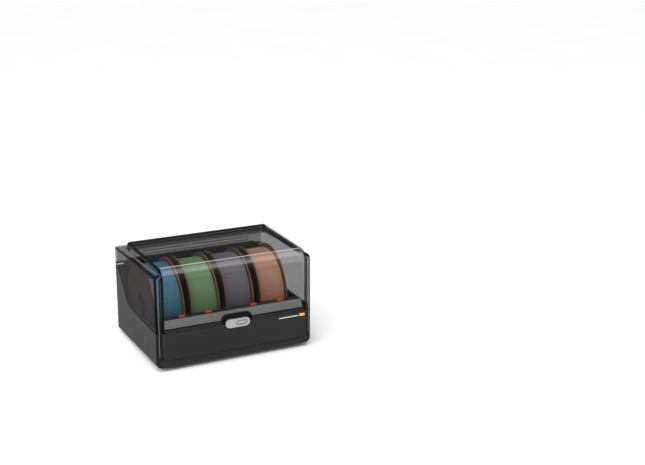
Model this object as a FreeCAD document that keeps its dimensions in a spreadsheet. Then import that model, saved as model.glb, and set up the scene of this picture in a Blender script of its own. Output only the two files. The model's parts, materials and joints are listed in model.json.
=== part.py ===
import math
import os
import re

import FreeCAD
import Part
import Sketcher

# Filament dryer box: four spools in a heated, lidded case that dries and feeds 3-D printer filament.
# Millimetres. X right, Y back, Z up. The origin is on the table under the middle of the case.

SIZES = {
    "foot_height": 8, "case_width": 366, "case_depth": 283, "wall": 2.5, "edge_round": 6,
    "ear_front": -135.5, "shoulder_front": 224, "shoulder_rear": 208,
    "top_round_front": 16, "top_round_rear": 6, "bottom_round_front": 14, "bottom_round_rear": 3,
    "hood_width": 340, "hood_top": 232, "hood_back": 93, "hood_bottom": 28, "hood_round": 27,
    "hood_rear_round": 9, "hood_foot_round": 13, "rim_round": 6,
    "split_z": 90, "split_knee_y": 54, "split_rear_z": 163, "split_round": 40, "split_gap": 0.6,
    "lid_rear_z": 163.5, "lip_inset": 2.9, "lip_inner": 5, "lip_rise": 6,
    "bay_first_x": -137.5, "bay_pitch": 81.5, "spool_y": -3, "spool_z": 112,
    "spool_radius": 98, "spool_width": 67, "flange": 3, "core_radius": 40, "bore_radius": 26,
    "wound_radius": 88, "divider_radius": 95, "divider_thick": 1.6,
    "roller_radius": 9, "roller_reach": 62, "axle_radius": 3, "roller_gap": 0.3, "axle_half": 38.3,
    "tray_top": 12.8, "ledge_top": 113, "ledge_front": -122, "ledge_back": -103.5, "ledge_half": 164,
    "fascia_foot_y": -132, "fascia_foot_z": 95, "button_y": -112, "button_half": 4, "button_long": 8,
    "hinge_y": 133, "hinge_z": 172, "hinge_x": 120, "hinge_radius": 5, "pin_radius": 2,
    "tower_front": 103, "tower_back": 121, "tower_top": 182, "tower_half": 176,
    "latch_x": 2, "latch_z": 89.5, "latch_half": 18.5, "latch_radius": 10.5,
    "latch_thick": 4.2, "latch_proud": 2, "keeper_y": -135.1, "housing_wide": 6, "housing_deep": 6.6,
    "gear_y": -117, "gear_z": 88, "gear_radius": 6, "guide_z": 91, "feeder_low": 66,
    "motor_y": -89, "motor_z": 24, "can_radius": 8, "gearbox_radius": 6,
    "floor_half": 166.7, "floor_front": -125.7, "floor_back": 133.7,
    "outlet_z": 120, "outlet_radius": 5, "tube_radius": 2.1,
    "inlet_x": -141, "port_z": 50, "inlet_half": 13.5, "inlet_tall": 11.5, "port_front": 126,
    "board_front": 124, "board_thick": 1.6, "chip": 14,
    "duct_left": 148, "duct_right": 177, "duct_front": -60, "duct_back": 95, "duct_wall": 2,
    "fan_left": 152, "fan_y": 45, "fan_z": 64, "fan_radius": 27, "fan_frame_half": 31,
}
BAYS = 4
BUTTON_X = (-115, -54, 53, 119)
TUBE_X = (60, 84, 108, 132)
PORT_X = (-104, -86)
SCREW_X, SCREW_Y = (-155, -52, 52, 155), (-118, 126)

doc = FreeCAD.newDocument("filament_dryer_box")
sheet = doc.addObject("Spreadsheet::Sheet", "dims")
for row, (alias, size) in enumerate(SIZES.items(), start=1):
    sheet.set(f"A{row}", alias)
    sheet.set(f"B{row}", str(size))
    sheet.setAlias(f"B{row}", alias)
doc.recompute()

nodes = []
X_AXIS, Y_AXIS, Z_AXIS = (FreeCAD.Vector(*v) for v in ((1, 0, 0), (0, 1, 0), (0, 0, 1)))
TURN = {
    "X": FreeCAD.Rotation(Z_AXIS, X_AXIS),
    "Y": FreeCAD.Rotation(Z_AXIS, Y_AXIS),
    "Z": FreeCAD.Rotation(),
}


def size(alias):
    return float(sheet.get(alias))


def bind(obj, prop, text):
    """Bind a property to an expression in which every size's name stands for its cell."""
    names = re.sub(r"[a-z][a-z_]*", lambda m: f"dims.{m.group()}" if m.group() in SIZES else m.group(),
                   str(text))
    obj.setExpression(prop, names)


def keep(obj, label):
    """Give an object its node name and list it for export."""
    obj.Label = label
    nodes.append(obj)
    return obj


def block(x, y, z, name="block"):
    """A box from the low and high limits along each axis."""
    box = doc.addObject("Part::Box", name)
    for prop, (low, high) in zip(("Length", "Width", "Height"), (x, y, z)):
        bind(box, prop, f"({high}) - ({low})")
    for axis, (low, _) in zip("xyz", (x, y, z)):
        bind(box, f"Placement.Base.{axis}", low)
    return box


def rod(axis, centre, radius, span, name="rod"):
    """A cylinder along an axis; centre gives its other two coordinates, in X, Y, Z order."""
    cylinder = doc.addObject("Part::Cylinder", name)
    cylinder.Placement = FreeCAD.Placement(FreeCAD.Vector(), TURN[axis])
    bind(cylinder, "Radius", radius)
    bind(cylinder, "Height", f"({span[1]}) - ({span[0]})")
    across = iter(centre)
    for letter in "XYZ":
        bind(cylinder, f"Placement.Base.{letter.lower()}", span[0] if letter == axis else next(across))
    return cylinder


def fuse(*shapes):
    joined = doc.addObject("Part::MultiFuse", "fuse")
    joined.Shapes = list(shapes)
    joined.Refine = True
    return joined


def cut(base, *tools):
    left = doc.addObject("Part::Cut", "cut")
    left.Base = base
    left.Tool = tools[0] if len(tools) == 1 else fuse(*tools)
    return left


def common(*shapes):
    shared = doc.addObject("Part::MultiCommon", "common")
    shared.Shapes = list(shapes)
    return shared


def group(*shapes):
    loose = doc.addObject("Part::Compound", "group")
    loose.Links = list(shapes)
    return loose


def rounded(base, radius_of):
    """Fillet the edges of a finished shape to which radius_of gives a radius, or a (front, rear) pair."""
    doc.recompute()
    fillet = doc.addObject("Part::Fillet", "rounded")
    fillet.Base = base
    edges = []
    for index, edge in enumerate(base.Shape.Edges, start=1):
        radius = radius_of(edge)
        if not radius:
            continue
        front, rear = radius if isinstance(radius, tuple) else (radius, radius)
        backward = edge.Vertexes[0].Y > edge.Vertexes[-1].Y
        edges.append((index, rear, front) if backward else (index, front, rear))
    fillet.Edges = edges
    doc.recompute()
    return fillet


def outline(points, rounds=None):
    """Straight edges through the points, with a tangent arc at each index in rounds."""
    rounds = rounds or {}
    corners = [FreeCAD.Vector(a, b, 0) for a, b in points]
    starts, ends, arcs = [], [], []
    for i, corner in enumerate(corners):
        before, after = corners[i - 1], corners[(i + 1) % len(corners)]
        radius = rounds.get(i, 0)
        back, ahead = (before - corner).normalize(), (after - corner).normalize()
        half = back.getAngle(ahead) / 2
        reach = radius / math.tan(half) if radius else 0
        enter, leave = corner + back * reach, corner + ahead * reach
        if radius:
            middle = corner + (back + ahead).normalize() * (radius / math.sin(half) - radius)
            arcs.append(Part.Arc(enter, middle, leave))
        ends.append(enter)
        starts.append(leave)
    sides = [Part.LineSegment(starts[i], ends[(i + 1) % len(corners)]) for i in range(len(corners))]
    return sides + arcs


def sketched_body(name, plane, geometry):
    body = doc.addObject("PartDesign::Body", name)
    sketch = body.newObject("Sketcher::SketchObject", name + "_sketch")
    support = next(f for f in body.Origin.OriginFeatures if f.Role == plane)
    sketch.AttachmentSupport = [(support, "")]
    sketch.MapMode = "FlatFace"
    sketch.addGeometry(geometry, False)
    return body, sketch


def padded(name, points, x_span, rounds=None):
    """A side view in (Y, Z), padded along X between two limits."""
    body, sketch = sketched_body(name, "YZ_Plane", outline(points, rounds))
    pad = body.newObject("PartDesign::Pad", name + "_pad")
    pad.Profile = sketch
    bind(pad, "Length", f"({x_span[1]}) - ({x_span[0]})")
    bind(body, "Placement.Base.x", x_span[0])
    return body


def revolved(name, points, centre):
    """A half section in (X, distance from the axis), turned about X through the centre."""
    body, sketch = sketched_body(name, "XY_Plane", outline(points))
    turned = body.newObject("PartDesign::Revolution", name + "_turned")
    turned.Profile = sketch
    turned.ReferenceAxis = (sketch, ["H_Axis"])
    turned.Angle = 360
    for axis, text in zip("xyz", centre):
        bind(body, f"Placement.Base.{axis}", text)
    return body


def bay_x(bay):
    return f"bay_first_x + {bay} * bay_pitch"


# ---- the case's outer form and the split between base and lid

def along(edge, axis):
    box = edge.BoundBox
    lengths = {"X": box.XLength, "Y": box.YLength, "Z": box.ZLength}
    return lengths[axis] > 1 and all(v < 0.01 for k, v in lengths.items() if k != axis)


def case_form(inset):
    """The rounded case, with every face moved in by the inset: side ears and a raised centre hood."""
    front, rear = size("ear_front") + inset, size("case_depth") / 2 - inset
    low, middle = size("foot_height") + inset, size("shoulder_front") / 2
    ears = padded("ears", [(front, low), (rear, low), (rear, size("shoulder_rear") - inset),
                           (front, size("shoulder_front") - inset)],
                  (f"-case_width / 2 + {inset}", f"case_width / 2 - {inset}"))

    def inside(*sizes):
        return tuple(max(size(name) - inset, 0.4) for name in sizes)

    def long_edges(edge):
        box = edge.BoundBox
        if box.XLength > 0.01 or box.YLength < 100:
            return 0
        if edge.CenterOfMass.z > middle:
            return inside("top_round_front", "top_round_rear")
        return inside("bottom_round_front", "bottom_round_rear")

    def front_loop(edge):
        flat = edge.BoundBox.YLength < 0.01 and abs(edge.CenterOfMass.y - front) < 0.01
        return inside("edge_round")[0] if flat else 0

    ears = rounded(rounded(ears, long_edges), front_loop)
    hood = block((f"-hood_width / 2 + {inset}", f"hood_width / 2 - {inset}"),
                 (f"-case_depth / 2 + {inset}", f"hood_back - {inset}"),
                 (f"hood_bottom + {inset}", f"hood_top - {inset}"), "hood")
    hood_rear, hood_side = size("hood_back") - inset, size("hood_width") / 2 - inset

    def main_rounds(edge):
        point = edge.CenterOfMass
        if along(edge, "X") and point.z > middle:
            return inside("hood_round" if point.y < 0 else "hood_rear_round")[0]
        return inside("hood_foot_round")[0] if along(edge, "Y") and point.z < middle else 0

    def rim_rounds(edge):
        point, box = edge.CenterOfMass, edge.BoundBox
        on_side = box.XLength < 0.01 and abs(abs(point.x) - hood_side) < 0.01
        side = on_side and point.z > size("hood_bottom") + size("hood_foot_round") + 1
        low_front = box.YLength < 0.01 and abs(point.y + rear) < 0.01 and point.z < middle
        rear_post = along(edge, "Z") and abs(point.y - hood_rear) < 0.01
        return inside("rim_round")[0] if (side or low_front) and not rear_post else 0

    hood = rounded(rounded(hood, main_rounds), rim_rounds)
    return fuse(ears, hood)


def split_side(name, above, shift=0.0, rear=None):
    """Everything above or below the split line, whose knee climbs at 45 degrees to the rear wall.

    Where a rear height is given, the rear corner is rounded about the hinge, so that it turns in place.
    """
    far, sky, ground = 200, 260, -20
    rear_z = size("split_rear_z") + shift if rear is None else rear
    z, knee = size("split_z") + shift, size("split_knee_y")
    end_z = sky if above else ground
    rounds, back = {1: size("split_round") - shift}, far
    if rear is not None:
        back = size("case_depth") / 2
        rounds[3] = back - size("hinge_y")
    points = [(-far, z), (knee, z), (knee + rear_z - z, rear_z), (back, rear_z), (back, end_z),
              (-far, end_z)]
    return padded(name, points, ("-case_width / 2 - 10", "case_width / 2 + 10"), rounds)


def build_case():
    """The base with its raised inner lip, the clear lid, and the seal that lies on the lip."""
    wall, lip, inner, rise = (size(name) for name in ("wall", "lip_inset", "lip_inner", "lip_rise"))
    outer, hollow, deep = case_form(0), case_form(wall), case_form(inner)
    before_tower = block(("-200", "200"), ("-200", "tower_back + 1"), ("0", "220"))
    latch_gap = block(("latch_x - latch_half - latch_radius - housing_wide - 0.5",
                       "latch_x + latch_half + latch_radius + housing_wide + 0.5"),
                      ("-case_depth / 2 + wall + 0.1", "-case_depth / 2 + 7"),
                      ("split_z - 9", "split_z + 20"))
    through_rear = ("hinge_y - 13", "case_depth / 2 + 18.5")
    holes = [
        latch_gap, pill_hole(),
        block(("-floor_half - 0.3", "floor_half + 0.3"), ("floor_front - 0.3", "floor_back + 0.3"),
              ("foot_height - 1", "foot_height + 4")),
        block(("inlet_x - inlet_half - 0.5", "inlet_x + inlet_half + 0.5"), through_rear,
              ("port_z - inlet_tall - 0.5", "port_z + inlet_tall + 0.5")),
        block((f"{PORT_X[0]} - 8", f"{PORT_X[1]} + 10"), through_rear, ("port_z - 8", "port_z + 8")),
    ]
    holes += [rod("Y", (x, "outlet_z"), "outlet_radius + 0.05", through_rear) for x in TUBE_X]
    holes += [block((10 * i - 30, 10 * i - 26), through_rear, (34, 74)) for i in range(7)]
    shell = cut(common(outer, split_side("base_side", False)), hollow)
    seat = cut(common(case_form(wall - 0.4), split_side("seat_top", False, -0.2),
                      split_side("seat_foot", True, -8), before_tower), deep)
    raised = cut(common(case_form(lip), split_side("lip_top", False, rise),
                        split_side("lip_foot", True, -4), before_tower), deep)
    keep(cut(fuse(shell, seat, raised), *holes), "base_shell")
    lid = cut(common(outer, split_side("lid_side", True, size("split_gap"), size("lid_rear_z"))), hollow)
    keep(cut(lid, pill_hole()), "lid_shell")
    ring = cut(common(case_form(lip + 0.1), split_side("seal_top", False, rise + 2.6),
                      split_side("seal_foot", True, rise), before_tower), case_form(inner - 0.1))
    keep(cut(ring, latch_gap), "lid_seal")


def pill_hole():
    """The round-ended hole through the front wall, half in the lid and half in the base, round the latch."""
    return pill("latch_radius + 1", ("-case_depth / 2 - 5", "-case_depth / 2 + 5.2"))


# ---- floor, feet and the pieces bolted inside the base

def build_floor():
    """The plate screwed under the case, its rubber feet, and the tray that carries the bays."""
    plate = block(("-floor_half", "floor_half"), ("floor_front", "floor_back"),
                  ("foot_height", "foot_height + wall"))
    screws, holes, feet = [], [], []
    for x in SCREW_X:
        for y in SCREW_Y:
            holes.append(rod("Z", (x, y), 1.6, ("foot_height - 1", "foot_height + 4")))
            head = rod("Z", (x, y), 3, ("foot_height - 1.6", "foot_height"))
            shank = rod("Z", (x, y), 1.55, ("foot_height - 0.5", "foot_height + 3.4"))
            screws.append(fuse(head, shank))
    for x in (-140, 140):
        for y in (-100, 108):
            pad = doc.addObject("Part::Cone", "foot")
            for prop, text in (("Radius1", 11), ("Radius2", 13), ("Height", "foot_height"),
                               ("Placement.Base.x", x), ("Placement.Base.y", y)):
                bind(pad, prop, text)
            feet.append(pad)
    keep(cut(plate, *holes), "bottom_plate")
    keep(group(*screws), "bottom_screws")
    keep(group(*feet), "feet")
    floor = block((-172, 172), (-106, "tower_front"), ("tray_top - 2", "tray_top"))
    ribs = [block((x - 1.5, x + 1.5), (-100, 98), ("foot_height + wall", "tray_top - 2"))
            for x in (-97, 0, 97)]
    keep(fuse(floor, *ribs), "tray_floor")


def roller_height():
    reach = size("spool_radius") + size("roller_radius") + size("roller_gap")
    return size("spool_z") - math.sqrt(reach ** 2 - size("roller_reach") ** 2)


def build_bay(bay):
    """One spool with its wound filament and the two rollers that it lies on."""
    number, middle = bay + 1, bay_x(bay)
    half, edge, flange = size("spool_width") / 2, size("spool_radius"), size("flange")
    core, bore, wound = size("core_radius"), size("bore_radius"), size("wound_radius")
    inner = half - flange
    reel = [(-half, bore), (half, bore), (half, edge), (inner, edge), (inner, core), (-inner, core),
            (-inner, edge), (-half, edge)]
    keep(revolved(f"reel_{number}", reel, (middle, "spool_y", "spool_z")), f"reel_{number}")
    crown = wound + 1
    filament = [(-inner, core), (inner, core), (inner, wound), (inner - 8, crown), (-inner + 8, crown),
                (-inner, wound)]
    keep(revolved(f"filament_{number}", filament, (middle, "spool_y", "spool_z")), f"filament_{number}")
    height = roller_height()
    for kind, side in (("drive", -1), ("idle", 1)):
        at = (f"spool_y + {side} * roller_reach", f"{height}")
        axle = rod("X", at, "axle_radius", (f"{middle} - axle_half", f"{middle} + axle_half"))
        wheels = [rod("X", at, "roller_radius", (f"{middle} + {x} - 3.5", f"{middle} + {x} + 3.5"))
                  for x in (-31.5, 31.5)]
        keep(fuse(axle, *wheels), f"{kind}_roller_{number}")


def build_brackets():
    """Two upright plates for the axle of every roller."""
    plates = []
    for bay in range(BAYS):
        for side in (-1, 1):
            y, z = f"spool_y + {side} * roller_reach", f"{roller_height()}"
            for low in (-38.5, 35.5):
                x = (f"{bay_x(bay)} + {low}", f"{bay_x(bay)} + {low + 3}")
                plate = block(x, (f"{y} - 8", f"{y} + 8"), ("tray_top", f"{z} + 7"))
                hole = rod("X", (y, z), "axle_radius + 0.05", (f"{x[0]} - 1", f"{x[1]} + 1"))
                plates.append(cut(plate, hole))
    keep(group(*plates), "roller_brackets")


def build_dividers():
    """A thin round plate on a foot between each pair of spools."""
    dividers = []
    for bay in range(BAYS - 1):
        middle = f"{bay_x(bay)} + bay_pitch / 2"
        x = (f"{middle} - divider_thick / 2", f"{middle} + divider_thick / 2")
        disc = rod("X", ("spool_y", "spool_z"), "divider_radius", x)
        dividers.append(fuse(disc, block(x, (-80, 74), ("tray_top", 60))))
    keep(group(*dividers), "bay_dividers")


def build_rewind_motors():
    """A motor on a saddle in front of each bay's drive roller."""
    motors, at = [], ("motor_y", "motor_z")
    for bay in range(BAYS):
        middle = bay_x(bay)
        can = rod("X", at, "can_radius", (f"{middle} - 18", f"{middle} + 8"))
        gearbox = rod("X", at, "gearbox_radius", (f"{middle} + 8", f"{middle} + 20"))
        saddle = block((f"{middle} - 14", f"{middle} + 4"), ("motor_y - 7", "motor_y + 7"),
                       ("tray_top", "motor_z - can_radius + 0.5"))
        shaft_hole = rod("X", at, 1, (f"{middle} + 17", f"{middle} + 21"))
        motors.append(cut(fuse(can, gearbox, saddle), shaft_hole))
    keep(group(*motors), "rewind_motors")


# ---- feeders along the front

def slot_hole(x, clearance, z):
    """A lengthwise slot with round ends, seen from above."""
    radius = f"button_half + {clearance}"
    middle = block((f"{x} - button_long / 2", f"{x} + button_long / 2"),
                   (f"button_y - button_half - {clearance}", f"button_y + button_half + {clearance}"), z)
    ends = [rod("Z", (f"{x} + {s} * button_long / 2", "button_y"), radius, z) for s in (-1, 1)]
    return fuse(middle, *ends)


def build_ledge():
    """The cover over the feeders, its leaning front strip and the four release buttons in it."""
    tray, top, front, back = (size(name) for name in ("tray_top", "ledge_top", "ledge_front", "ledge_back"))
    foot_y, foot_z = size("fascia_foot_y"), size("fascia_foot_z")
    thick, lean = size("wall"), 2.2
    span = ("-ledge_half", "ledge_half")
    cover = padded("cover_section", [(back, tray), (back, top), (front, top), (front, top - thick),
                                     (back - thick, top - thick), (back - thick, tray)], span)
    slots = [slot_hole(x, 0.3, ("ledge_top - 5", "ledge_top + 2")) for x in BUTTON_X]
    guides = [rod("Y", (bay_x(bay), "guide_z"), 4, ("ledge_back - 5", "ledge_back + 2"))
              for bay in range(BAYS)]
    keep(cut(cover, *slots, *guides), "feeder_cover")
    keep(padded("feeder_fascia", [(front, top), (foot_y, foot_z), (foot_y, foot_z - 2),
                                  (foot_y + lean, foot_z - 2), (foot_y + lean, foot_z + 0.6),
                                  (front, top - thick - 1.4)], span), "feeder_fascia")
    for number, x in enumerate(BUTTON_X, start=1):
        keep(slot_hole(x, 0, ("ledge_top - 6", "ledge_top + 2.5")), f"release_button_{number}")


def toothed_wheel(middle, at, teeth=12):
    """A drive wheel with round notches between its teeth and a bore for the motor's shaft."""
    across = (f"{middle} - 5", f"{middle} + 5")
    wheel = rod("X", at, "gear_radius", (f"{middle} - 4", f"{middle} + 4"))
    notches = []
    for tooth in range(teeth):
        angle = 2 * math.pi * tooth / teeth
        reach = size("gear_radius") + 0.1
        y, z = size("gear_y") + reach * math.cos(angle), size("gear_z") + reach * math.sin(angle)
        notches.append(rod("X", (f"{y:.4f}", f"{z:.4f}"), 0.6, across))
    return cut(wheel, rod("X", at, 1.55, across), *notches)


def build_feeders():
    """Each bay's feeder under the ledge: a housing, the inlet bush, the motor and its drive wheel."""
    housings, inlets, motors = [], [], []
    at = ("gear_y", "gear_z")
    for bay in range(BAYS):
        middle = bay_x(bay)
        box = block((f"{middle} - 20", f"{middle} + 22"), ("gear_y - 9", "gear_y + 10"),
                    ("feeder_low", "ledge_top - 12"))
        room = block((f"{middle} - 8", f"{middle} + 8"), ("gear_y - 7.5", "gear_y + 7.5"),
                     ("gear_z - 12", "ledge_top - 11"))
        shaft_hole = rod("X", at, 1.55, (f"{middle} + 7", f"{middle} + 23"))
        path = rod("Y", (middle, "guide_z"), 1.2, ("gear_y + 7", "gear_y + 11"))
        housings.append(cut(box, room, shaft_hole, path))
        bush = rod("Y", (middle, "guide_z"), 3.9, ("gear_y + 10", "ledge_back + 1.2"))
        inlets.append(cut(bush, rod("Y", (middle, "guide_z"), 1.2, ("gear_y + 9", "gear_y + 17"))))
        can = rod("X", at, 6, (f"{middle} + 22", f"{middle} + 44"))
        motors.append(fuse(can, rod("X", at, 1.5, (f"{middle} - 5", f"{middle} + 23"))))
        keep(toothed_wheel(middle, at), f"feed_gear_{bay + 1}")
    keep(group(*housings), "feeder_housings")
    keep(group(*inlets), "filament_inlets")
    keep(group(*motors), "feeder_motors")


# ---- latch

def pill(z_radius, y):
    middle = block(("latch_x - latch_half", "latch_x + latch_half"), y,
                   (f"latch_z - ({z_radius})", f"latch_z + {z_radius}"))
    ends = [rod("Y", (f"latch_x + {s} * latch_half", "latch_z"), z_radius, y) for s in (-1, 1)]
    return fuse(middle, *ends)


def build_latch():
    """The pressed pill, its hook, the keeper on the base and the hooded housing on the lid."""
    front, back = "-case_depth / 2 - latch_proud", "-case_depth / 2 - latch_proud + latch_thick"
    reach = "latch_half + latch_radius"
    keep(pill("latch_radius", (front, back)), "latch_button")
    keep(block(("latch_x - 5", "latch_x + 5"), (back, f"{back} + 1.4"), ("latch_z - 8", "latch_z + 6")),
         "latch_hook")
    keep(block((f"latch_x - ({reach}) - 1", f"latch_x + {reach} - 1"), ("keeper_y", "keeper_y + 2"),
               ("latch_z - latch_radius - 4", "split_z + 0.3")), "latch_keeper")
    hood = block((f"latch_x - ({reach}) - housing_wide", f"latch_x + {reach} + housing_wide"),
                 ("-case_depth / 2 + wall", "-case_depth / 2 + wall + housing_deep"),
                 ("latch_z + 1.5", "latch_z + 20"))
    crown = size("split_z") + 9
    hood = rounded(hood, lambda edge: 12 if along(edge, "Y") and edge.CenterOfMass.z > crown else 0)
    room = block((f"latch_x - ({reach}) - 1", f"latch_x + {reach} + 1"),
                 ("-case_depth / 2", "-case_depth / 2 + wall + 4.8"),
                 ("latch_z - 2", "latch_z + latch_radius + 1"))
    keep(cut(hood, room), "latch_housing")


# ---- rear tower and hinges

def build_tower():
    """The cover between the spools and the rear electronics, open at its back."""
    top, half, foot = size("tower_top"), size("tower_half"), size("tray_top")
    shoulder, slope = top - 14, 24
    section = [(-half, foot), (half, foot), (half, shoulder), (half - slope, top), (slope - half, top),
               (-half, shoulder)]
    body, sketch = sketched_body("tower_block", "XZ_Plane", outline(section))
    pad = body.newObject("PartDesign::Pad", "tower_pad")
    pad.Profile = sketch
    bind(pad, "Length", "tower_back - tower_front")
    bind(body, "Placement.Base.y", "tower_back")
    depth = ("tower_front + wall", "tower_back + 1")
    inside = block(("-tower_half + wall", "tower_half - wall"), depth,
                   ("tray_top - 1", "tower_top - 14 - wall"))
    crown = block(("-tower_half + 26", "tower_half - 26"), depth, ("tower_top - 20", "tower_top - wall"))
    keep(cut(body, inside, crown), "rear_tower")


def build_hinges():
    """On each side a knuckle on the lid turns on a pin between two brackets on the tower."""
    knuckles, brackets, pins = [], [], []
    at = ("hinge_y", "hinge_z")
    for side in (-1, 1):
        middle = f"{side} * hinge_x"
        barrel = rod("X", at, "hinge_radius", (f"{middle} - 12", f"{middle} + 12"))
        web = block((f"{middle} - 12", f"{middle} + 12"), ("hinge_y", "case_depth / 2 - wall"),
                    ("hinge_z - 4", "hinge_z + 4"))
        bore = rod("X", at, "pin_radius + 0.05", (f"{middle} - 13", f"{middle} + 13"))
        knuckles.append(cut(fuse(barrel, web), bore))
        for low in (-18.3, 12.3):
            x = (f"{middle} + {low}", f"{middle} + {low + 6}")
            arm = block(x, ("tower_front + wall", "hinge_y"), ("hinge_z - 5", "hinge_z + 5"))
            eye = rod("X", at, "pin_radius + 0.02", (f"{x[0]} - 1", f"{x[1]} + 1"))
            brackets.append(cut(fuse(rod("X", at, "hinge_radius", x), arm), eye))
        pins.append(rod("X", at, "pin_radius", (f"{middle} - 18", f"{middle} + 18")))
    keep(group(*knuckles), "hinge_knuckles")
    keep(group(*brackets), "hinge_brackets")
    keep(group(*pins), "hinge_pins")


# ---- electronics, drying and rear ports

def build_electronics():
    """The main board with its chips, and the mains power supply behind the tower."""
    board = block((-20, 150), ("board_front", "board_front + board_thick"), (30, 110))
    chips = [block((x, f"{x} + chip"), ("board_front - 2.4", "board_front"), (z, f"{z} + chip"))
             for x, z in ((0, 50), (40, 80), (90, 60), (120, 88))]
    keep(fuse(board, *chips), "main_board")
    keep(block((-165, -30), ("tower_front + wall", "tower_back - 1"), (70, 150)), "power_supply")


def build_ports():
    """Rear sockets for mains and signals."""
    body = block(("inlet_x - inlet_half", "inlet_x + inlet_half"), ("port_front - 6", "case_depth / 2 + 0.5"),
                 ("port_z - inlet_tall", "port_z + inlet_tall"))
    socket = block(("inlet_x - 9", "inlet_x + 9"), ("port_front + 2", "case_depth / 2 + 5"),
                   ("port_z - 7", "port_z + 7"))
    prongs = [block((f"inlet_x + {x} - 1", f"inlet_x + {x} + 1"), ("port_front + 1", "port_front + 11"),
                    ("port_z - 3", "port_z + 3")) for x in (-5, 0, 5)]
    keep(fuse(cut(body, socket), *prongs), "power_inlet")
    ports = []
    for x in PORT_X:
        shell = block((x - 7, x + 7), ("port_front", "case_depth / 2 + 0.5"), ("port_z - 7", "port_z + 7"))
        mouth = block((x - 5, x + 5), ("port_front + 4", "case_depth / 2 + 5"), ("port_z - 4", "port_z + 4"))
        ports.append(cut(shell, mouth))
    keep(group(*ports), "signal_ports")


def build_outlets():
    """Push-in fittings through the rear wall, each with a collet that grips a filament tube."""
    fittings, collets = [], []
    for x in TUBE_X:
        at = (x, "outlet_z")
        barrel = rod("Y", at, "outlet_radius", ("port_front", "case_depth / 2"))
        collar = rod("Y", at, "outlet_radius + 2", ("case_depth / 2", "case_depth / 2 + 5"))
        bore = rod("Y", at, 3.5, ("port_front - 1", "case_depth / 2 + 6"))
        fittings.append(cut(fuse(barrel, collar), bore))
        sleeve = rod("Y", at, 3.4, ("port_front + 6", "case_depth / 2 + 6"))
        ring = rod("Y", at, "outlet_radius", ("case_depth / 2 + 5.4", "case_depth / 2 + 7"))
        tube_hole = rod("Y", at, "tube_radius", ("port_front + 5", "case_depth / 2 + 8"))
        collets.append(cut(fuse(sleeve, ring), tube_hole))
    keep(group(*fittings), "tube_fittings")
    keep(group(*collets), "fitting_collets")


def build_dryer():
    """Warm-air unit beside the last bay: a duct, a finned heater and a fan that blows along X."""
    top = "fan_z + fan_radius + 4"
    out = block(("duct_left", "duct_right"), ("duct_front", "duct_back"), ("tray_top", f"{top} + duct_wall"))
    inside = block(("duct_left + duct_wall", "duct_right - duct_wall"),
                   ("duct_front + duct_wall", "duct_back - duct_wall"), ("tray_top + duct_wall", top))
    grille = [block((f"duct_left + {8 + 6 * i}", f"duct_left + {11 + 6 * i}"), (-50, 5),
                    (f"{top} - 4", f"{top} + 6")) for i in range(3)]
    at = ("fan_y", "fan_z")
    eye = rod("X", at, "fan_radius", ("duct_left - 1", "duct_left + 3"))
    keep(cut(out, inside, eye, *grille), "heater_duct")
    frame = block(("fan_left", "fan_left + 10"), ("fan_y - fan_frame_half", "fan_y + fan_frame_half"),
                  ("fan_z - fan_frame_half", "fan_z + fan_frame_half"))
    tunnel = rod("X", at, "fan_radius + 1", ("fan_left - 1", "fan_left + 8"))
    keep(fuse(cut(frame, tunnel), rod("X", at, 1.5, ("fan_left + 1", "fan_left + 9"))), "fan_frame")
    build_fan_rotor(at)
    low = "duct_front + 10"
    fins = [block(("fan_left + 1", "fan_left + 21"), (f"{low} + {6 * i}", f"{low} + {6 * i + 2}"), (30, 70))
            for i in range(9)]
    keep(fuse(block(("fan_left + 1", "fan_left + 21"), (low, f"{low} + 50"), (26, 30)), *fins), "heater_core")


def build_fan_rotor(at, count=7):
    """A hub with flat radial blades."""
    blades = []
    for turn in range(count):
        blade = doc.addObject("Part::Box", "blade")
        blade.Length, blade.Width, blade.Height = 5, 17, 1.6
        spin = FreeCAD.Rotation(X_AXIS, 360 / count * turn)
        hub_middle = FreeCAD.Vector(size("fan_left") + 1.5, size("fan_y"), size("fan_z"))
        blade.Placement = FreeCAD.Placement(hub_middle + spin.multVec(FreeCAD.Vector(0, 9, -0.8)), spin)
        blades.append(blade)
    hub = rod("X", at, 10, ("fan_left + 1", "fan_left + 7"))
    keep(cut(fuse(hub, *blades), rod("X", at, 1.55, ("fan_left", "fan_left + 8"))), "fan_rotor")


def write_parts():
    """Check every object, then write one STEP file for each node."""
    doc.recompute()
    for obj in doc.Objects:
        if "Invalid" in obj.State or "Error" in obj.State:
            raise SystemExit(f"{obj.Name} ({obj.Label}) failed: {obj.State}")
    for obj in nodes:
        if obj.Shape.isNull() or not obj.Shape.isValid() or not obj.Shape.Solids:
            raise SystemExit(f"{obj.Label} has no valid solid")
    os.makedirs("parts", exist_ok=True)
    for obj in nodes:
        obj.Shape.exportStep(f"parts/{obj.Label}.step")
        box = obj.Shape.BoundBox
        print(f"{obj.Label:18s} solids {len(obj.Shape.Solids):2d}  {obj.Shape.Volume / 1000:8.1f} cm3"
              f"  x {box.XMin:.1f}..{box.XMax:.1f}  y {box.YMin:.1f}..{box.YMax:.1f}"
              f"  z {box.ZMin:.1f}..{box.ZMax:.1f}")
    print(len(nodes), "nodes")


build_case()
build_floor()
for number in range(BAYS):
    build_bay(number)
build_brackets()
build_dividers()
build_rewind_motors()
build_ledge()
build_feeders()
build_latch()
build_tower()
build_hinges()
build_electronics()
build_ports()
build_outlets()
build_dryer()
write_parts()
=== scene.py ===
import json
import math

import bmesh
import bpy
from mathutils import Matrix, Vector


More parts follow.
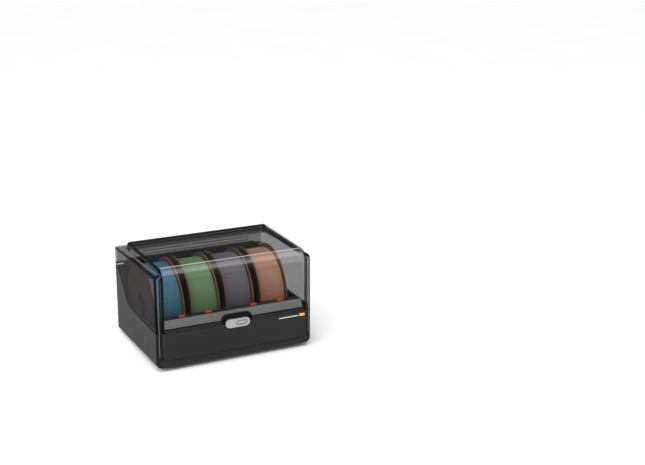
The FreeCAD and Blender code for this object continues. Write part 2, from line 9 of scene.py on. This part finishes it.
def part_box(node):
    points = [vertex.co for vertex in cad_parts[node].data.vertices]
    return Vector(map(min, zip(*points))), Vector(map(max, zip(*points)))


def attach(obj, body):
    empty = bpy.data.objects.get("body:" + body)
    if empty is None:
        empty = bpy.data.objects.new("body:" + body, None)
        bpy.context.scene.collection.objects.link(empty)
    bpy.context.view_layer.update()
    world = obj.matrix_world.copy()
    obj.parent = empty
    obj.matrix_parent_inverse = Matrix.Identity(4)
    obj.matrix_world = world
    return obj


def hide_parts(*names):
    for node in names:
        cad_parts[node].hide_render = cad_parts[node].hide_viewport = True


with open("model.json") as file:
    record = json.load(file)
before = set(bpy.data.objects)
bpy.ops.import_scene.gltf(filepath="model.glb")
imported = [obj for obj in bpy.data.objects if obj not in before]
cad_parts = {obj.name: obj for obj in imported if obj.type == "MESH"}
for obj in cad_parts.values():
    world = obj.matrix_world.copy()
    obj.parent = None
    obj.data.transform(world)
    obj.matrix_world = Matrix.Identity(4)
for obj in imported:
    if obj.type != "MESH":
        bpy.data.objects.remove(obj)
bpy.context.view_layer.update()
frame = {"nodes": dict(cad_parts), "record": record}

# A filament dryer box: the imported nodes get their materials, and finer pieces ride on the same bodies.
# Metres. X right, Y back, Z up, with the origin on the table under the middle of the case.

nodes = frame["nodes"]

BAYS = range(1, 5)
FILAMENTS = ("filament_blue", "filament_green", "filament_mauve", "filament_orange")
CASE_FRONT = -0.1415        # front of the base and of the hood
EAR_FRONT = -0.1352         # just inside the front of the ears on either side of the hood
HOOD_SIDE = 0.1705          # just past the hood's side walls
LID_FOOT = 0.0903           # just above the base's rim and just below the lid's foot
UPPER_LID = 0.2             # above this height the hood has only its top rounding and roof


# ---- materials: each is a small node tree with its own colour drift, roughness and grain

def new_material(name, colour, roughness, metallic=0.0, alpha=1.0, specular=0.5):
    material = bpy.data.materials.new(name)
    material.use_nodes = True
    tree = material.node_tree
    shader = tree.nodes["Principled BSDF"]
    shader.inputs["Base Color"].default_value = (*colour, 1)
    shader.inputs["Roughness"].default_value = roughness
    shader.inputs["Metallic"].default_value = metallic
    shader.inputs["Alpha"].default_value = alpha
    shader.inputs["Specular IOR Level"].default_value = specular
    return material, tree, shader


def noise(tree, scale, detail=3.0, stretch=(1, 1, 1)):
    place = tree.nodes.new("ShaderNodeTexCoord")
    spread = tree.nodes.new("ShaderNodeMapping")
    spread.inputs["Scale"].default_value = stretch
    grain = tree.nodes.new("ShaderNodeTexNoise")
    grain.inputs["Scale"].default_value = scale
    grain.inputs["Detail"].default_value = detail
    tree.links.new(place.outputs["Object"], spread.inputs["Vector"])
    tree.links.new(spread.outputs["Vector"], grain.inputs["Vector"])
    return grain.outputs["Fac"]


def ramp(tree, source, low, high, start=0.3, stop=0.7):
    """Maps a 0 to 1 value to a colour between low and high."""
    blend = tree.nodes.new("ShaderNodeValToRGB")
    blend.color_ramp.elements[0].position = start
    blend.color_ramp.elements[1].position = stop
    blend.color_ramp.elements[0].color = (*low, 1)
    blend.color_ramp.elements[1].color = (*high, 1)
    tree.links.new(source, blend.inputs["Fac"])
    return blend.outputs["Color"]


def vary(tree, shader, colour, amount, scale, stretch=(1, 1, 1)):
    """Drifts the base colour by a share of itself."""
    low = tuple(c * (1 - amount) for c in colour)
    high = tuple(min(1, c * (1 + amount)) for c in colour)
    tree.links.new(ramp(tree, noise(tree, scale, 4, stretch), low, high), shader.inputs["Base Color"])


def rough_range(tree, shader, low, high, scale, stretch=(1, 1, 1)):
    spread = tree.nodes.new("ShaderNodeMapRange")
    spread.inputs["To Min"].default_value = low
    spread.inputs["To Max"].default_value = high
    tree.links.new(noise(tree, scale, 3, stretch), spread.inputs["Value"])
    tree.links.new(spread.outputs["Result"], shader.inputs["Roughness"])


def bump(tree, shader, source, strength, depth):
    relief = tree.nodes.new("ShaderNodeBump")
    relief.inputs["Strength"].default_value = strength
    relief.inputs["Distance"].default_value = depth
    tree.links.new(source, relief.inputs["Height"])
    tree.links.new(relief.outputs["Normal"], shader.inputs["Normal"])


def moulded(name, colour, roughness, grain=2600, depth=0.00006, specular=0.4):
    """Moulded plastic with a fine spark-eroded grain and slow drift in tone and gloss."""
    material, tree, shader = new_material(name, colour, roughness, specular=specular)
    vary(tree, shader, colour, 0.10, 9)
    rough_range(tree, shader, roughness - 0.06, roughness + 0.06, 40)
    bump(tree, shader, noise(tree, grain, 2), 0.35, depth)
    return material


def smoked(name, alpha, colour=(0.012, 0.012, 0.013), specular=0.5):
    """Smoked clear plastic, seen through by a plain alpha, with faint handling marks in its gloss."""
    material, tree, shader = new_material(name, colour, 0.06, alpha=alpha, specular=specular)
    rough_range(tree, shader, 0.035, 0.10, 14)
    return material


def kraft(name, colour):
    """Pressed brown board: fibres, flecks and a slightly fuzzy surface."""
    material, tree, shader = new_material(name, colour, 0.85, specular=0.2)
    vary(tree, shader, colour, 0.22, 220, (1, 1, 3))
    bump(tree, shader, noise(tree, 900, 5), 0.5, 0.0002)
    return material


def wound(name, colour):
    """Semi-gloss wound strand, with slight changes of tone from layer to layer."""
    material, tree, shader = new_material(name, colour, 0.38, specular=0.45)
    vary(tree, shader, colour, 0.12, 120, (6, 1, 1))
    bump(tree, shader, noise(tree, 700, 2), 0.15, 0.0001)
    return material


def brushed(name, colour, roughness, stretch=(1, 60, 60)):
    material, tree, shader = new_material(name, colour, roughness, metallic=1.0)
    rough_range(tree, shader, roughness - 0.08, roughness + 0.1, 60, stretch)
    vary(tree, shader, colour, 0.06, 50, stretch)
    return material


def circuit(name):
    """Green solder mask over a lattice of tracks."""
    material, tree, shader = new_material(name, (0.02, 0.13, 0.06), 0.35)
    cells = tree.nodes.new("ShaderNodeTexBrick")
    cells.inputs["Scale"].default_value = 180
    cells.inputs["Color1"].default_value = (0.015, 0.12, 0.05, 1)
    cells.inputs["Color2"].default_value = (0.03, 0.17, 0.08, 1)
    cells.inputs["Mortar"].default_value = (0.06, 0.25, 0.12, 1)
    place = tree.nodes.new("ShaderNodeTexCoord")
    tree.links.new(place.outputs["Object"], cells.inputs["Vector"])
    tree.links.new(cells.outputs["Color"], shader.inputs["Base Color"])
    rough_range(tree, shader, 0.25, 0.45, 120)
    return material


MATERIALS = {
    "dark_plastic": moulded("dark_plastic", (0.019, 0.019, 0.0193), 0.5, specular=0.1),
    "black_plastic": moulded("black_plastic", (0.009, 0.009, 0.0093), 0.5, specular=0.08),
    "ledge_plastic": moulded("ledge_plastic", (0.055, 0.055, 0.056), 0.5),
    "ledge_top": moulded("ledge_top", (0.022, 0.022, 0.0225), 0.5),
    "grey_plastic": moulded("grey_plastic", (0.29, 0.29, 0.295), 0.5),
    # Painted highlight: a light grey for the thin beads that stand in for highlight lines on the ears.
    "highlight_bead_plastic": moulded("highlight_bead_plastic", (0.2, 0.205, 0.21), 0.3),
    "inlet_plastic": moulded("inlet_plastic", (0.62, 0.62, 0.60), 0.4),
    "red_plastic": moulded("red_plastic", (0.80, 0.085, 0.03), 0.35),
    "smoked_lid": smoked("smoked_lid", 0.335, (0.006, 0.006, 0.0065), specular=0.02),
    "smoked_rear": smoked("smoked_rear", 0.5, specular=0.03),
    # Painted shade: a near-black, nearly opaque copy of the smoked plastic for the lid's edge roundings.
    "smoked_edge_shade": smoked("smoked_edge_shade", 0.97, (0.003, 0.003, 0.003), 0.03),
    "smoked_ear": smoked("smoked_ear", 0.45, (0.008, 0.008, 0.008), 0.05),
    # Copies of the smoked plastic for the hood's front rounding: a clearer, lighter one, then pale ones that
    # are painted highlight and painted sheen.
    "smoked_band": smoked("smoked_band", 0.27, (0.02, 0.02, 0.021), 0.1),
    "smoked_painted_sheen": smoked("smoked_painted_sheen", 0.31, (0.32, 0.32, 0.33), 0.5),
    "smoked_faint_sheen": smoked("smoked_faint_sheen", 0.29, (0.15, 0.15, 0.155), 0.3),
    "smoked_painted_glint": smoked("smoked_painted_glint", 0.62, (0.62, 0.63, 0.64), 0.5),
    # Painted shade: a darker copy of the satin metal for the faces inside the latch's groove.
    "latch_groove_shade": brushed("latch_groove_shade", (0.24, 0.242, 0.246), 0.5),
    "satin_metal": brushed("satin_metal", (0.40, 0.405, 0.41), 0.42),
    "steel": brushed("steel", (0.58, 0.58, 0.58), 0.3),
    "port_metal": brushed("port_metal", (0.62, 0.62, 0.62), 0.28),
    "power_supply_metal": brushed("power_supply_metal", (0.55, 0.55, 0.57), 0.42),
    "heater_metal": brushed("heater_metal", (0.6, 0.6, 0.61), 0.35),
    "circuit_board": circuit("circuit_board"),
    "rubber": moulded("rubber", (0.012, 0.012, 0.012), 0.8, 1500, 0.0001, 0.2),
    "cardboard": kraft("cardboard", (0.26, 0.125, 0.07)),
    # Painted shade: darker copies of the kraft for the reels' inner faces, and for their outer faces and
    # bore, where shade falls between and inside the reels.
    "cardboard_painted_half_shade": kraft("cardboard_painted_half_shade", (0.09, 0.052, 0.038)),
    "cardboard_painted_shade": kraft("cardboard_painted_shade", (0.028, 0.021, 0.018)),
    "filament_blue": wound("filament_blue", (0.07, 0.215, 0.305)),
    "filament_green": wound("filament_green", (0.175, 0.32, 0.15)),
    "filament_mauve": wound("filament_mauve", (0.175, 0.157, 0.195)),
    "filament_orange": wound("filament_orange", (0.55, 0.285, 0.178)),
}


def dress_nodes():
    for part in frame["record"]["subparts"]:
        obj = nodes[part["node"]]
        obj.data.materials.clear()
        obj.data.materials.append(MATERIALS[part["material_slot"]])
    nodes["feeder_cover"].data.materials[0] = MATERIALS["ledge_plastic"]
    nodes["rear_tower"].data.materials[0] = MATERIALS["black_plastic"]


def repaint(node, material, chosen):
    """Gives a second material to the faces of a node for which chosen(centre, normal) holds."""
    mesh = nodes[node].data
    mesh.materials.append(MATERIALS[material])
    index = len(mesh.materials) - 1
    for face in mesh.polygons:
        if chosen(face.center, face.normal):
            face.material_index = index


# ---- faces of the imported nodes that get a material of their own

FACES_APART = 0.02          # on a reel, less than the reach from its middle to either flange
# Slopes of the bands of painted highlight and painted sheen on the front rounding.
GLINT, UPPER_FAINT_SHEEN, SHEEN, LOWER_FAINT_SHEEN = (1, 13), (22, 31), (31, 50), (50, 60)    # degrees down from the roof


def on_front_rounding(centre, normal):
    return (abs(normal.x) < 0.05 and normal.y * normal.z < 0 and 0.1 < abs(normal.z) < 0.998
            and abs(centre.x) < HOOD_SIDE and centre.y < -0.11 and centre.z > UPPER_LID)


def on_dark_edge(centre, normal):
    """True on the roundings between the lid's walls, apart from the hood's front rounding; they get painted
    shade, a near-black copy of the smoked plastic for the dark look of thick clear edges.
    """
    _, middle, largest = sorted(abs(part) for part in normal)
    if largest > 0.995 or on_front_rounding(centre, normal):
        return False
    if abs(centre.x) > HOOD_SIDE and abs(normal.y) < 0.15:
        return abs(normal.x) > 0.7
    if abs(centre.x) < HOOD_SIDE and centre.z > UPPER_LID:
        return centre.y > -0.12 or abs(normal.x) > 0.3
    return middle > (0.12 if centre.y > 0.1 else 0.3)


def on_rear_wall(centre, normal):
    return abs(normal.y) > 0.995 and centre.y > 0.13


def on_ear_face(centre, normal):
    return abs(centre.x) > HOOD_SIDE and normal.y < -0.9


def on_base_ear(centre, normal):
    return abs(centre.x) > HOOD_SIDE and centre.y < -0.129 and centre.z < LID_FOOT


def on_base_lip(centre, normal):
    return centre.z > LID_FOOT and centre.y < -0.125


def faces_up(centre, normal):
    return normal.z > 0.3


def paint_front_rounding():
    """Painted highlight: pale bands along the rounding, each between two slopes of its outer faces, stand in
    for the glint and sheen of light on it.
    """
    # The whole rounding first gets a clearer, lighter copy of the smoked plastic: painted light for the
    # brighter band seen through it.
    repaint("lid_shell", "smoked_band", on_front_rounding)
    for material, (low, high) in (("smoked_painted_glint", GLINT), ("smoked_faint_sheen", UPPER_FAINT_SHEEN),
                                  ("smoked_painted_sheen", SHEEN), ("smoked_faint_sheen", LOWER_FAINT_SHEEN)):
        def in_band(centre, normal):
            slope = math.degrees(math.atan2(-normal.y, normal.z))
            return on_front_rounding(centre, normal) and normal.z > 0 and low < slope < high
        repaint("lid_shell", material, in_band)


def paint_reel(number):
    """Painted shade on the kraft reel: its outer faces and bore are painted nearly black and its inner faces
    a darker brown, so the lighter kraft colour is left on the cut edge round each flange.
    """
    low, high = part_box(f"reel_{number}")
    middle = (low + high) / 2
    flange_foot = (high.z - low.z) / 2 - 0.004

    def outward(centre, normal):
        return (centre.x - middle.x) * normal.x

    def on_outside(centre, normal):
        reach = math.hypot(centre.y - middle.y, centre.z - middle.z)
        return outward(centre, normal) > FACES_APART or (abs(normal.x) < 0.5 and reach < flange_foot)

    def on_inside(centre, normal):
        return outward(centre, normal) < -FACES_APART

    repaint(f"reel_{number}", "cardboard_painted_shade", on_outside)
    repaint(f"reel_{number}", "cardboard_painted_half_shade", on_inside)


def paint_shells():
    repaint("lid_shell", "smoked_rear", on_rear_wall)
    repaint("lid_shell", "smoked_ear", on_ear_face)
    # Painted shade on the lid's edge roundings.
    repaint("lid_shell", "smoked_edge_shade", on_dark_edge)
    # Painted highlight and painted sheen on the hood's front rounding.
    paint_front_rounding()
    repaint("base_shell", "black_plastic", on_base_ear)
    repaint("base_shell", "ledge_plastic", on_base_lip)
    repaint("feeder_cover", "ledge_top", faces_up)
    # Painted shade on each reel's faces.
    for number in BAYS:
        paint_reel(number)


# ---- meshes

def add_mesh(name, build, material):
    """Turns the built mesh into an object of one material."""
    bmesh.ops.recalc_face_normals(build, faces=build.faces)
    mesh = bpy.data.meshes.new(name)
    build.to_mesh(mesh)
    build.free()
    mesh.materials.append(material)
    obj = bpy.data.objects.new(name, mesh)
    bpy.context.scene.collection.objects.link(obj)
    return obj


def join_loops(build, lower, upper):
    for i in range(len(lower)):
        j = (i + 1) % len(lower)
        build.faces.new((lower[i], lower[j], upper[j], upper[i]))


def lathe(name, profile, steps, centre, material):
    """Turns (x, radius) points about the X axis through the centre into a closed ring."""
    build = bmesh.new()
    rings = []
    for step in range(steps):
        angle = 2 * math.pi * step / steps
        rings.append([build.verts.new((centre.x + x, centre.y + r * math.cos(angle),
                                       centre.z + r * math.sin(angle))) for x, r in profile])
    for here, there in zip(rings, rings[1:] + rings[:1]):
        join_loops(build, here, there)
    obj = add_mesh(name, build, material)
    for face in obj.data.polygons:
        face.use_smooth = True
    return obj


def pill_outline(half, radius, steps=14):
    """Points (x, z) round a pill, anticlockwise from its right end's foot."""
    points = []
    for sign, start in ((1, -90), (-1, 90)):
        for step in range(steps + 1):
            angle = math.radians(start + 180 * step / steps)
            points.append((sign * half + radius * math.cos(angle), radius * math.sin(angle)))
    return points


def stack(name, centre, layers, material, out=Vector((0, -1, 0))):
    """Joins pill outlines, each (half, radius, height, shift), into one closed cap that faces along out."""
    across = Vector((1, 0, 0))
    up = out.cross(across)
    build = bmesh.new()
    loops = []
    for half, radius, height, shift in layers:
        loops.append([build.verts.new(centre + across * (x + shift) + up * z + out * height)
                      for x, z in pill_outline(half, radius)])
    for lower, upper in zip(loops, loops[1:]):
        join_loops(build, lower, upper)
    build.faces.new(list(reversed(loops[0])))
    build.faces.new(loops[-1])
    return add_mesh(name, build, material)


def strip(name, path, across, deep, body, material):
    """A thin band that follows the path, as wide as one vector and as thick as the other."""
    build = bmesh.new()
    rings = []
    for point in path:
        corners = (point, point + across, point + across * 0.8 + deep, point + across * 0.2 + deep)
        rings.append([build.verts.new(corner) for corner in corners])
    for here, there in zip(rings, rings[1:]):
        join_loops(build, here, there)
    build.faces.new(rings[0])
    build.faces.new(list(reversed(rings[-1])))
    obj = add_mesh(name, build, MATERIALS[material])
    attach(obj, body)


# ---- wound filament: every turn of the outer layer is a real ridge

STRAND = 0.00175            # diameter of the filament
CORE = 0.0405               # radius of the reel's core
EDGE_DIP = 0.0012           # how far the winding falls away beside the flanges
RING_STEPS = 120


def wind_filament(number, slot):
    node = f"filament_{number}"
    low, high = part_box(node)
    centre = (low + high) / 2
    half = (high.x - low.x) / 2 - 0.0001
    outer = (high.z - low.z) / 2
    turns = int(2 * half / STRAND)
    ridge = half / turns
    profile = [(-half, CORE)]
    for turn in range(turns):
        middle = -half + (2 * turn + 1) * ridge
        dip = EDGE_DIP * (abs(middle) / half) ** 6
        for angle in (180, 135, 90, 45):
            profile.append((middle + ridge * math.cos(math.radians(angle)),
                            outer - ridge - dip + ridge * math.sin(math.radians(angle))))
    profile += [(half, outer - ridge - EDGE_DIP), (half, CORE)]
    obj = lathe(f"wound_filament_{number}", profile, RING_STEPS, centre, MATERIALS[slot])
    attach(obj, f"spool_{number}")
    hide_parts(node)


# ---- latch, buttons and badge

def latch_face():
    """Satin pill with soft edges and a pill-shaped groove let into its right half, whose walls and floor are
    painted darker as painted shade.
    """
    low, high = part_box("latch_button")
    centre = (low + high) / 2
    radius = (high.z - low.z) / 2
    half = (high.x - low.x) / 2 - radius
    top = (high.y - low.y) / 2
    edge, groove = 0.0012, 0.0009
    grip_half, grip_shift = half * 0.42, half * 0.5
    body = stack("latch_face", centre, [
        (half, radius - 0.0004, -top, 0),
        (half, radius, -top + 0.0004, 0),
        (half, radius, top - edge, 0),
        (half, radius - edge * 0.3, top - edge * 0.3, 0),
        (half, radius - edge, top, 0),
        (grip_half, radius * 0.56, top, grip_shift),
        (grip_half, radius * 0.50, top - groove, grip_shift),
        (grip_half, radius * 0.30, top - groove, grip_shift),
        (grip_half, radius * 0.24, top - 0.0002, grip_shift),
    ], MATERIALS["satin_metal"])
    # The groove's faces get painted shade.
    body.data.materials.append(MATERIALS["latch_groove_shade"])
    for face in body.data.polygons:
        depth = top - (centre.y - face.center.y)
        beside = abs(face.center.x - centre.x - grip_shift)
        if 0.0004 < depth < 0.00095 and beside < grip_half + radius * 0.43:
            face.material_index = 1
    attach(body, "latch")
    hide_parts("latch_button")


def button_caps():
    """Red push buttons with a rounded rim and a slightly hollow top."""
    for number in BAYS:
        node = f"release_button_{number}"
        low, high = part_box(node)
        radius = (high.y - low.y) / 2
        half = (high.x - low.x) / 2 - radius
        tall = (high.z - low.z) / 2
        cap = stack(f"button_cap_{number}", (low + high) / 2, [
            (half, radius, -tall, 0),
            (half, radius, tall - 0.0014, 0),
            (half, radius - 0.0005, tall - 0.0005, 0),
            (half, radius - 0.0016, tall, 0),
            (half * 0.8, radius * 0.4, tall - 0.0003, 0),
        ], MATERIALS["red_plastic"], out=Vector((0, 0, 1)))
        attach(cap, f"button_{number}")
        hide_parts(node)


def badge():
    """A plain light bar and a small orange tag on the front, with no lettering."""
    sunk, proud, edge = 0.0004, 0.0005, 0.0003
    for name, colour, x, z, half, radius, slot in (
            ("badge_bar", (0.55, 0.55, 0.55), 0.1245, 0.0812, 0.0225, 0.0011, "grey_plastic"),
            ("badge_tag", (0.95, 0.32, 0.02), 0.1575, 0.0822, 0.0038, 0.0033, "filament_orange")):
        material, tree, shader = new_material(name, colour, 0.4)
        rough_range(tree, shader, 0.3, 0.5, 80)
        mark = stack(name, Vector((x, CASE_FRONT, z)), [
            (half, radius, -sunk, 0), (half, radius, edge, 0), (half, radius - edge, proud, 0)], material)
        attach(mark, "base")


# ---- thin lines on the ears and inside the lid: strips of painted shade and painted highlight, and the rear wall's outline

LINE_THICK = 0.0004
OUTLINE_WIDE = 0.002


def ear_lines():
    """A black strip of painted shade beside the hood and a light bead of painted highlight on each ear,
    split where the lid meets the base.
    """
    for side, label in ((-1, "left"), (1, "right")):
        for kind, middle, width, material, slot in (
                # groove: a black strip, painted shade where the groove beside the hood looks dark; bead: a
                # light strip, painted highlight.
                ("groove", 0.1716, 0.0024, "black_plastic", "black_plastic"),
                ("bead", 0.1762, 0.0011, "highlight_bead_plastic", "grey_plastic")):
            left = side * middle - width / 2
            for body, foot, head in (("base", 0.036, 0.0896), ("lid", 0.0912, 0.214)):
                path = [Vector((left, EAR_FRONT, z)) for z in (foot, head)]
                strip(f"{kind}_{label}_{body}", path, Vector((width, 0, 0)), Vector((0, -0.0006, 0)),
                      body, material)


def shoulder(y):
    """Height of an ear's sloping top at y."""
    front_y, front_z, fall = -0.1355, 0.224, 0.016 / 0.277
    return front_z - fall * (y - front_y)


def hood_edge_shades():
    """Black strips of painted shade inside the hood's upper edges, for the dark look of its thick edges, and
    a light line of painted highlight along the top of each ear.
    """
    edge_shade_top = 0.2265
    # Painted shade: black strips inside the hood's upper edges, for their dark look.
    strip("border_rear", [Vector((x, 0.0902, 0.2185)) for x in (-0.164, 0.164)],
          Vector((0, 0, 0.0045)), Vector((0, -LINE_THICK, 0)), "lid", "black_plastic")
    for side, label, tall in ((-1, "left", 0.004), (1, "right", 0.012)):
        path = [Vector((side * 0.1673, y, edge_shade_top - tall)) for y in (-0.112, 0.084)]
        strip(f"border_{label}", path, Vector((0, 0, tall)), Vector((-side * LINE_THICK, 0, 0)),
              "lid", "black_plastic")
        # Painted highlight: a light strip along the top of each ear.
        path = [Vector((side * 0.1742, y, shoulder(y) - 0.0003)) for y in (-0.128, 0.13)]
        strip(f"ear_line_{label}", path, Vector((side * 0.0011, 0, 0)), Vector((0, 0, 0.0006)),
              "lid", "highlight_bead_plastic")


def rear_outline():
    """The outline of a low rectangle on the inside of the lid's rear wall."""
    inside, left, right, foot, head = 0.1386, -0.117, 0.145, 0.179, 0.187
    level, upright = Vector((0, 0, OUTLINE_WIDE)), Vector((OUTLINE_WIDE, 0, 0))
    for label, start, end, across in (
            ("foot", (left, foot), (right, foot), level), ("head", (left, head), (right, head), level),
            ("left", (left, foot), (left, head), upright), ("right", (right, foot), (right, head), upright)):
        strip(f"rear_outline_{label}", [Vector((x, inside, z)) for x, z in (start, end)], across,
              Vector((0, -LINE_THICK, 0)), "lid", "black_plastic")


# ---- camera, floor and light

EYE = Vector((-0.91719, -2.37893, 1.04295))
YAW, PITCH, ROLL = (math.radians(angle) for angle in (26.697, 17.199, 0.368))
LENS, SENSOR = 66.02, 36    # millimetres


def aim_camera():
    ahead = Vector((math.sin(YAW) * math.cos(PITCH), math.cos(YAW) * math.cos(PITCH), -math.sin(PITCH)))
    level = Vector((math.cos(YAW), -math.sin(YAW), 0))
    upright = level.cross(ahead)
    right = level * math.cos(ROLL) + upright * math.sin(ROLL)
    above = upright * math.cos(ROLL) - level * math.sin(ROLL)
    camera = bpy.data.cameras.new("camera")
    camera.sensor_width = SENSOR
    camera.lens = LENS
    camera.clip_start, camera.clip_end = 0.05, 50
    eye = bpy.data.objects.new("camera", camera)
    place = Matrix((right, above, -ahead)).transposed().to_4x4()
    place.translation = EYE
    eye.matrix_world = place
    bpy.context.scene.collection.objects.link(eye)
    bpy.context.scene.camera = eye


def pass_lid(lamp):
    """Lets a lamp shine on what is under the clear lid without the lid's shadow."""
    spared = bpy.data.collections.new(lamp.name + "_passes")
    spared.objects.link(nodes["lid_shell"])
    lamp.light_linking.blocker_collection = spared
    spared.collection_objects[0].light_linking.link_state = "EXCLUDE"


def place_lamp(lamp, at, target):
    obj = bpy.data.objects.new(lamp.name, lamp)
    obj.location = at
    obj.rotation_mode = "QUATERNION"
    obj.rotation_quaternion = (Vector(target) - Vector(at)).to_track_quat("-Z", "Y")
    bpy.context.scene.collection.objects.link(obj)
    pass_lid(obj)


def area(name, at, target, width, height, power):
    lamp = bpy.data.lights.new(name, "AREA")
    lamp.shape = "RECTANGLE"
    lamp.size, lamp.size_y = width, height
    lamp.energy = power
    place_lamp(lamp, at, target)


def plain_world():
    """White behind the object, and a dimmer even light on it."""
    world = bpy.data.worlds.new("studio")
    bpy.context.scene.world = world
    world.use_nodes = True
    tree = world.node_tree
    lighting = tree.nodes["Background"]
    backdrop = tree.nodes.new("ShaderNodeBackground")
    for background, strength in ((lighting, 0.48), (backdrop, 1.0)):
        background.inputs["Color"].default_value = (1, 1, 1, 1)
        background.inputs["Strength"].default_value = strength
    rays = tree.nodes.new("ShaderNodeLightPath")
    choose = tree.nodes.new("ShaderNodeMixShader")
    tree.links.new(rays.outputs["Is Camera Ray"], choose.inputs["Fac"])
    tree.links.new(lighting.outputs[0], choose.inputs[1])
    tree.links.new(backdrop.outputs[0], choose.inputs[2])
    tree.links.new(choose.outputs[0], tree.nodes["World Output"].inputs["Surface"])


def pale_floor():
    white = (0.93, 0.93, 0.93)
    material, tree, shader = new_material("floor", white, 0.6, specular=0.2)
    vary(tree, shader, white, 0.01, 4)
    build = bmesh.new()
    bmesh.ops.create_grid(build, x_segments=2, y_segments=2, size=14)
    floor = add_mesh("floor", build, material)
    floor.location.z = -0.0005


def light_studio():
    plain_world()
    sun = bpy.data.lights.new("sun", "SUN")
    sun.energy = 2.6
    sun.angle = 1.2
    place_lamp(sun, (-1.6, -1.3, 2.4), (0, 0, 0))
    area("key", (-2.2, -0.1, 1.1), (0, 0, 0.1), 1.2, 1.2, 9)
    area("front_strip", (0.0, -1.3, 2.0), (0, 0, 0.2), 2.6, 0.5, 16)
    pale_floor()
    view = bpy.context.scene.view_settings
    view.view_transform = "Standard"
    view.look = "None"


dress_nodes()
paint_shells()
for number, slot in zip(BAYS, FILAMENTS):
    wind_filament(number, slot)
latch_face()
button_caps()
badge()
ear_lines()
hood_edge_shades()
rear_outline()
aim_camera()
light_studio()
